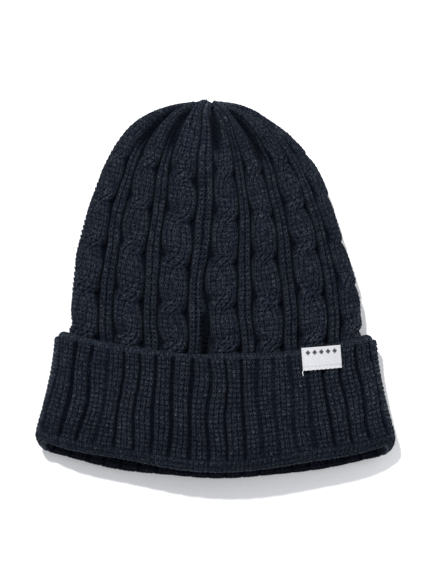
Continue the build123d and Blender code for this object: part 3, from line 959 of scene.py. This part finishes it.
def build_gather():
    """The two-ply yarn drawn through the crown's last stitches, and its knot inside."""
    low, high, middle = node_middle("crown_gather_yarn")
    turn = np.linspace(0, 2 * math.pi, 96, endpoint=False)
    reach = (high[0] - low[0]) / 2 - 0.95
    ring = np.stack([middle[0] + (reach + 0.25 * np.sin(5 * turn)) * np.cos(turn),
                     middle[1] + 0.55 * np.sin(3 * turn),
                     middle[2] + (reach + 0.25 * np.sin(5 * turn)) * np.sin(turn)], axis=1)
    yarn = thread_piece("gather_loop", [ring], 0.95, YARN, "yarn", "crown_gather_yarn", plies=2, turns=9.0,
                        closed=True, sides=14)
    low, high, middle = node_middle("gather_knot")
    turn = np.linspace(0, 2 * math.pi, 120, endpoint=False)
    size = (high[0] - low[0]) / 2 / 3.6
    knot = np.stack([middle[0] + size * (np.sin(turn) + 2 * np.sin(2 * turn)),
                     middle[1] - size * 1.2 * np.sin(3 * turn),
                     middle[2] + size * (np.cos(turn) - 2 * np.cos(2 * turn))], axis=1)
    thread_piece("tied_knot", [knot], 0.62, YARN, "yarn", "gather_knot", plies=2, turns=12.0,
                 closed=True, sides=12)
    return yarn


def build_seam(name, node, surface, down, lift, stitch):
    """A linking seam: a yarn that crosses from side to side over the join, stitch after stitch."""
    low, high, middle = node_middle(node)
    span = high[1] - low[1] - 2.0
    count = int(span / stitch)
    part = np.linspace(0, 1, count * 12 + 1)
    y = low[1] + 1.0 + span * part
    reach = (high[0] - low[0]) / 2 - 0.6
    x = middle[0] + reach * np.sin(2 * math.pi * count * part)
    start = middle[2] if down is None else (high[2] + 6 if down else low[2] - 2)
    spots = np.array([start if surface is None else surface.hit(middle[0], b, start, down) for b in y[::12]])
    z = np.interp(y, y[::12], spots) + lift + 0.25 * np.cos(4 * math.pi * count * part)
    path = np.stack([x, y, z], axis=1)
    return thread_piece(name, [path], 0.55, YARN, "yarn", node, plies=2, turns=count * 1.5)


CARE_STITCHES = 5
CARE_SEWN_AT = 1.6          # from its ends


def build_care_label(inside):
    """A small blank folded tab sewn inside the back, beside the seam, and its stitches."""
    low, high, middle = node_middle("care_label")
    width, length = high[1] - low[1], high[0] - low[0]
    spots = [(x, y) for x in np.linspace(low[0], high[0], 21) for y in np.linspace(low[1], high[1], 13)]
    under = inside.crests([x for x, y in spots], [y for x, y in spots], middle[2] + 3.5)

    def lie(across, along, height):
        x = high[0] - along
        y = middle[1] + across
        curl = 0.9 * math.exp(-along / 5.0)
        return x, y, float(under(x, y)) + height + curl + 0.15 * math.sin(0.55 * across)

    tab = tape("care_tab", lie, np.linspace(-width / 2, width / 2, 61), folded_loop(length, 0.22, 0.08, 50))
    tab.data.materials.append(SATIN_TAPE)
    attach(tab, "root")
    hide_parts("care_label")
    paths = []
    for number in range(CARE_STITCHES):
        start = -width / 2 + 1.6 + (width - 3.2) * number / CARE_STITCHES
        spots = np.linspace(start, start + 2.2, 9)
        bow = np.sin(np.linspace(0, math.pi, 9))
        path = [lie(a, length - CARE_SEWN_AT, 0.55) for a in spots]
        paths.append([(x, y, z + 0.25 * b) for (x, y, z), b in zip(path, bow)])
    thread_piece("tab_thread", paths, 0.22, WHITE_THREAD, "sewing_thread", "care_label_stitches",
                 plies=2, turns=2.0)
    return tab


# ---- Stage --------------------------------------------------------------------------
CAMERA_HEIGHT = 1.10
VIEW_SIDE = 0.365           # the photo's long side at the height of the hat's top
SENSOR = 36.0
FLOOR_HALF = 3.0
LIGHTS = [                  # name, place, watts and size in metres; all of them face the hat
    ("key", (-0.34, 0.84, 1.50), 32.0, 0.08),
    ("fill", (0.9, 0.5, 1.6), 11.0, 1.4),
    ("front", (-0.5, -1.1, 1.2), 1.2, 1.2),
]
SKY_COLOUR = (0.95, 0.97, 1.0, 1)
SKY_STRENGTH = 0.645


def build_stage():
    """A white floor, a hard light from the upper left in a soft room, and the camera straight above."""
    mesh = bpy.data.meshes.new("floor")
    corners = [(-FLOOR_HALF, -FLOOR_HALF, 0), (FLOOR_HALF, -FLOOR_HALF, 0),
               (FLOOR_HALF, FLOOR_HALF, 0), (-FLOOR_HALF, FLOOR_HALF, 0)]
    mesh.from_pydata(corners, [], [(0, 1, 2, 3)])
    floor = bpy.data.objects.new("floor", mesh)
    bpy.context.scene.collection.objects.link(floor)
    paper, tree, shader = new_material("white_paper", (0.86, 0.86, 0.87), 0.9)
    grain = noise(tree, 300.0, 3.0, tree.nodes.new("ShaderNodeTexCoord").outputs["Object"])
    tree.links.new(ramp(tree, grain, [(0.2, (0.86, 0.86, 0.87)), (0.8, (0.89, 0.89, 0.90))]),
                   shader.inputs["Base Color"])
    mesh.materials.append(paper)

    for name, place, power, size in LIGHTS:
        light = bpy.data.lights.new(name, "AREA")
        light.energy = power
        light.size = size
        lamp = bpy.data.objects.new(name, light)
        lamp.location = place
        aim = -np.array(place)
        tilt = math.acos(-aim[2] / np.linalg.norm(aim))
        lamp.rotation_euler = (tilt, 0, math.atan2(aim[1], aim[0]) - math.pi / 2)
        bpy.context.scene.collection.objects.link(lamp)
    world = bpy.data.worlds.new("studio")
    world.use_nodes = True
    world.node_tree.nodes["Background"].inputs["Color"].default_value = SKY_COLOUR
    world.node_tree.nodes["Background"].inputs["Strength"].default_value = SKY_STRENGTH
    bpy.context.scene.world = world

    camera = bpy.data.cameras.new("camera")
    camera.sensor_width = SENSOR
    camera.lens = SENSOR * (CAMERA_HEIGHT - CUFF_TOP * MM / 2) / VIEW_SIDE
    eye = bpy.data.objects.new("camera", camera)
    eye.location = (0.0, 0.0, CAMERA_HEIGHT)
    bpy.context.scene.collection.objects.link(eye)
    bpy.context.scene.camera = eye
    bpy.context.scene.view_settings.view_transform = "Standard"


build_stage()
body = build_body()
cuff = build_cuff()
body_surface = Surface(body)
cuff_surface = Surface(cuff)
label = build_label(cuff_surface)
build_gather()
build_seam("body_link", "body_seam", body_surface, True, 0.5, 5.5)
build_seam("cuff_link", "cuff_seam", None, None, 0.0, 5.5)
care_tab = build_care_label(body_surface)
